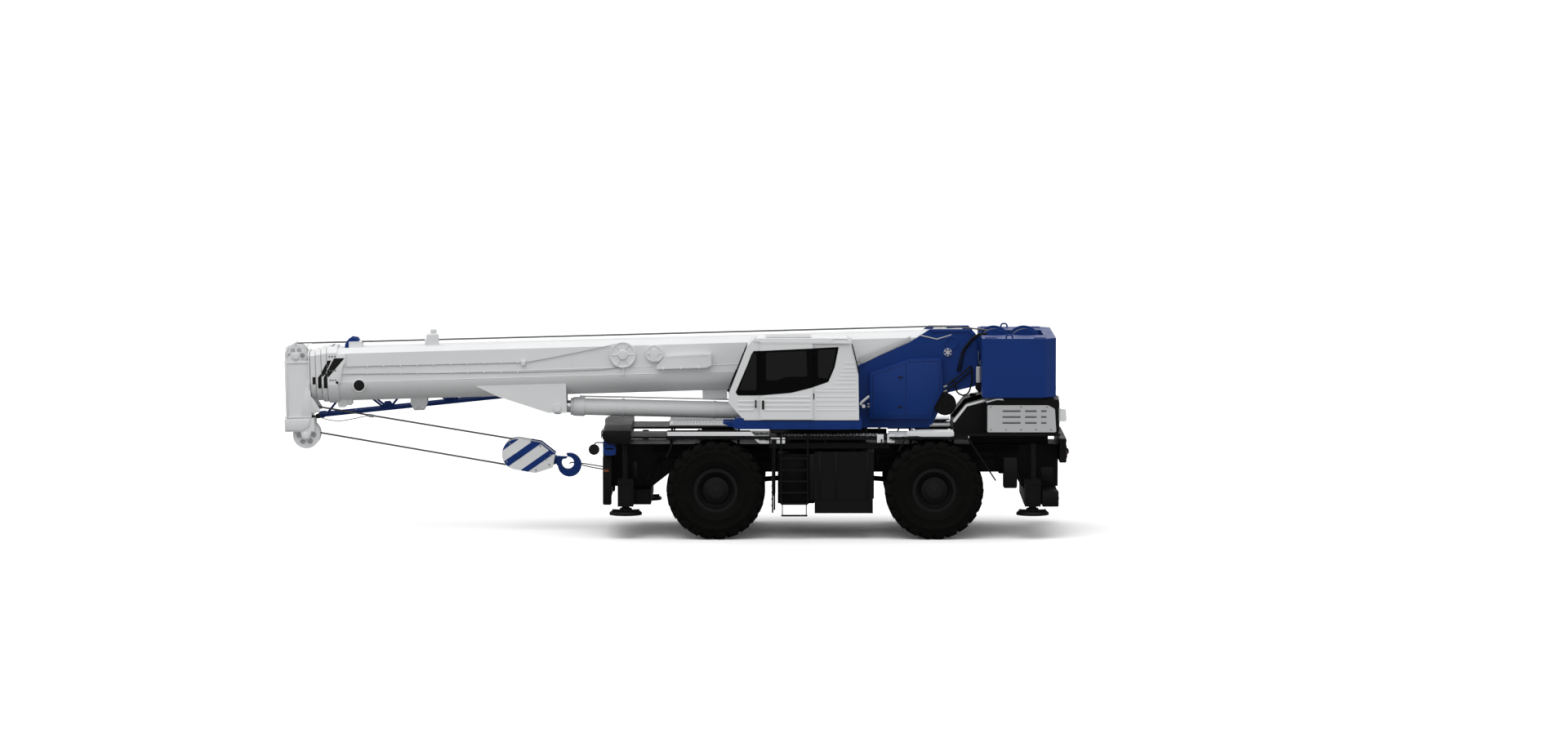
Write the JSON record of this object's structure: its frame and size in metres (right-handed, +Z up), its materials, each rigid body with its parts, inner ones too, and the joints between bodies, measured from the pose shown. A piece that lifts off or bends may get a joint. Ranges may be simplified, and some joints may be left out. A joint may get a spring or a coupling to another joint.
{
  "type": "rough terrain crane",
  "caption": "Rough terrain crane on two steered axles: slewing superstructure with side cab and counterweight, luffing telescopic boom, hook block, sliding outriggers with vertical jacks.",
  "frame": {"origin": "middle of the whole crane on the ground between its wheels, boom and counterweight, at the centre of its footprint box", "axes": "+X along the crane towards the head of the stowed boom, +Y to the cab side, +Z up"},
  "size_m": [14.4843, 3.32, 3.7997],
  "materials": {
    "blue_enamel": "gloss",
    "white_enamel": "gloss",
    "black_enamel": "satin",
    "grey_enamel": "satin",
    "tyre_rubber": "matte",
    "cab_window_glass": "clear",
    "seat_cover": "woven",
    "wire_rope": "stranded",
    "hard_chrome": "polished"
  },
  "bodies": {
    "carrier": {"chassis_frame": "black_enamel", "axles": "black_enamel", "slew_ring": "black_enamel", "deck_plates": "black_enamel", "front_bumper": "black_enamel", "engine_hood": "black_enamel", "engine_block": "black_enamel", "side_tanks": "black_enamel", "ladders": "black_enamel"},
    "superstructure": {"turntable_frame": "blue_enamel", "side_covers": "blue_enamel", "counterweight": "blue_enamel", "winches": "black_enamel", "cab_shell": "white_enamel", "cab_glass": "cab_window_glass", "cab_floor_frame": "blue_enamel", "operator_seat": "seat_cover"},
    "cab_door": {"cab_door": "white_enamel", "door_glass": "cab_window_glass"},
    "boom_base": {"boom_base": "white_enamel", "boom_fittings": "white_enamel", "jib_stowed": "blue_enamel"},
    "tele_section_1": {"tele_section_1": "white_enamel"},
    "tele_section_2": {"tele_section_2": "white_enamel"},
    "tele_section_3": {"tele_section_3": "white_enamel"},
    "boom_head": {"boom_head": "white_enamel", "head_sheaves": "white_enamel", "hoist_ropes": "wire_rope", "hook_block": "white_enamel", "load_hook": "blue_enamel"},
    "lift_barrel": {"lift_barrel": "white_enamel"},
    "lift_rod": {"lift_rod": "hard_chrome"},
    "tie_rod_front": {"tie_rod_front": "black_enamel"},
    "tie_rod_rear": {"tie_rod_rear": "black_enamel"},
    "knuckle_front_left": {"knuckle_front_left": "black_enamel"},
    "wheel_front_left": {"tyre_front_left": "tyre_rubber", "rim_front_left": "grey_enamel"},
    "beam_front_left": {"beam_front_left": "black_enamel"},
    "jack_front_left": {"jack_front_left": "black_enamel"},
    "knuckle_front_right": {"knuckle_front_right": "black_enamel"},
    "wheel_front_right": {"tyre_front_right": "tyre_rubber", "rim_front_right": "grey_enamel"},
    "beam_front_right": {"beam_front_right": "black_enamel"},
    "jack_front_right": {"jack_front_right": "black_enamel"},
    "knuckle_rear_left": {"knuckle_rear_left": "black_enamel"},
    "wheel_rear_left": {"tyre_rear_left": "tyre_rubber", "rim_rear_left": "grey_enamel"},
    "beam_rear_left": {"beam_rear_left": "black_enamel"},
    "jack_rear_left": {"jack_rear_left": "black_enamel"},
    "knuckle_rear_right": {"knuckle_rear_right": "black_enamel"},
    "wheel_rear_right": {"tyre_rear_right": "tyre_rubber", "rim_rear_right": "grey_enamel"},
    "beam_rear_right": {"beam_rear_right": "black_enamel"},
    "jack_rear_right": {"jack_rear_right": "black_enamel"}
  },
  "joints": [
    {"name": "steer_front_left", "type": "hinge", "parent": "carrier", "child": "knuckle_front_left", "pos_m": [-0.79503, 1, 0.91], "axis": [0, 0, 1], "range_deg": [-24, 24]},
    {"name": "wheel_spin_front_left", "type": "hinge", "parent": "knuckle_front_left", "child": "wheel_front_left", "pos_m": [-0.79503, 1.285, 0.91], "axis": [0, 1, 0], "continuous": true},
    {"name": "outrigger_front_left", "type": "slide", "parent": "carrier", "child": "beam_front_left", "axis": [0, 1, 0], "range_m": [0, 2.15]},
    {"name": "jack_front_left", "type": "slide", "parent": "beam_front_left", "child": "jack_front_left", "axis": [0, 0, -1], "range_m": [0, 0.6]},
    {"name": "steer_front_right", "type": "hinge", "parent": "carrier", "child": "knuckle_front_right", "pos_m": [-0.79503, -1, 0.91], "axis": [0, 0, 1], "range_deg": [-24, 24]},
    {"name": "wheel_spin_front_right", "type": "hinge", "parent": "knuckle_front_right", "child": "wheel_front_right", "pos_m": [-0.79503, -1.285, 0.91], "axis": [0, 1, 0], "continuous": true},
    {"name": "outrigger_front_right", "type": "slide", "parent": "carrier", "child": "beam_front_right", "axis": [0, -1, 0], "range_m": [0, 2.15]},
    {"name": "jack_front_right", "type": "slide", "parent": "beam_front_right", "child": "jack_front_right", "axis": [0, 0, -1], "range_m": [0, 0.6]},
    {"name": "steer_rear_left", "type": "hinge", "parent": "carrier", "child": "knuckle_rear_left", "pos_m": [-4.81503, 1, 0.91], "axis": [0, 0, 1], "range_deg": [-24, 24]},
    {"name": "wheel_spin_rear_left", "type": "hinge", "parent": "knuckle_rear_left", "child": "wheel_rear_left", "pos_m": [-4.81503, 1.285, 0.91], "axis": [0, 1, 0], "continuous": true},
    {"name": "outrigger_rear_left", "type": "slide", "parent": "carrier", "child": "beam_rear_left", "axis": [0, 1, 0], "range_m": [0, 2.15]},
    {"name": "jack_rear_left", "type": "slide", "parent": "beam_rear_left", "child": "jack_rear_left", "axis": [0, 0, -1], "range_m": [0, 0.6]},
    {"name": "steer_rear_right", "type": "hinge", "parent": "carrier", "child": "knuckle_rear_right", "pos_m": [-4.81503, -1, 0.91], "axis": [0, 0, 1], "range_deg": [-24, 24]},
    {"name": "wheel_spin_rear_right", "type": "hinge", "parent": "knuckle_rear_right", "child": "wheel_rear_right", "pos_m": [-4.81503, -1.285, 0.91], "axis": [0, 1, 0], "continuous": true},
    {"name": "outrigger_rear_right", "type": "slide", "parent": "carrier", "child": "beam_rear_right", "axis": [0, -1, 0], "range_m": [0, 2.15]},
    {"name": "jack_rear_right", "type": "slide", "parent": "beam_rear_right", "child": "jack_rear_right", "axis": [0, 0, -1], "range_m": [0, 0.6]},
    {"name": "tie_rod_front", "type": "hinge", "parent": "knuckle_front_left", "child": "tie_rod_front", "pos_m": [-1.12503, 0.9, 0.91], "axis": [0, 0, 1], "range_deg": [-24, 24]},
    {"name": "tie_rod_rear", "type": "hinge", "parent": "knuckle_rear_left", "child": "tie_rod_rear", "pos_m": [-4.48503, 0.9, 0.91], "axis": [0, 0, 1], "range_deg": [-24, 24]},
    {"name": "slew", "type": "hinge", "parent": "carrier", "child": "superstructure", "pos_m": [-2.80503, 0, 1.95], "axis": [0, 0, 1], "continuous": true},
    {"name": "cab_door_slide", "type": "slide", "parent": "superstructure", "child": "cab_door", "axis": [-1, 0, 0], "range_m": [0, 0.7]},
    {"name": "boom_luff", "type": "hinge", "parent": "superstructure", "child": "boom_base", "pos_m": [-5.08503, 0, 3.37], "axis": [0, -1, 0], "range_deg": [0, 83]},
    {"name": "telescope_1", "type": "slide", "parent": "boom_base", "child": "tele_section_1", "axis": [0.9996, 0, -0.0283], "range_m": [0, 9.75]},
    {"name": "telescope_2", "type": "slide", "parent": "tele_section_1", "child": "tele_section_2", "axis": [0.9996, 0, -0.0283], "range_m": [0, 9.75]},
    {"name": "telescope_3", "type": "slide", "parent": "tele_section_2", "child": "tele_section_3", "axis": [0.9996, 0, -0.0283], "range_m": [0, 9.75]},
    {"name": "telescope_4", "type": "slide", "parent": "tele_section_3", "child": "boom_head", "axis": [0.9996, 0, -0.0283], "range_m": [0, 9.75]},
    {"name": "lift_barrel_swing", "type": "hinge", "parent": "superstructure", "child": "lift_barrel", "pos_m": [-3.50503, 0, 2.197], "axis": [0, -1, 0], "range_deg": [0, 86.53]},
    {"name": "lift_rod_slide", "type": "slide", "parent": "lift_barrel", "child": "lift_rod", "axis": [0.9997, 0, 0.0231], "range_m": [0, 2.5804]}
  ],
  "couplings": [
    {"joint": "steer_front_right", "follows": "steer_front_left", "ratio": 1},
    {"joint": "tie_rod_front", "follows": "steer_front_left", "ratio": -1},
    {"joint": "steer_rear_right", "follows": "steer_rear_left", "ratio": 1},
    {"joint": "tie_rod_rear", "follows": "steer_rear_left", "ratio": -1},
    {"joint": "telescope_2", "follows": "telescope_1", "ratio": 1},
    {"joint": "telescope_3", "follows": "telescope_1", "ratio": 1},
    {"joint": "telescope_4", "follows": "telescope_1", "ratio": 1},
    {"joint": "lift_barrel_swing", "follows": "boom_luff", "ratio": 1.0401},
    {"joint": "lift_rod_slide", "follows": "boom_luff", "m_per_rad": 1.7792}
  ]
}
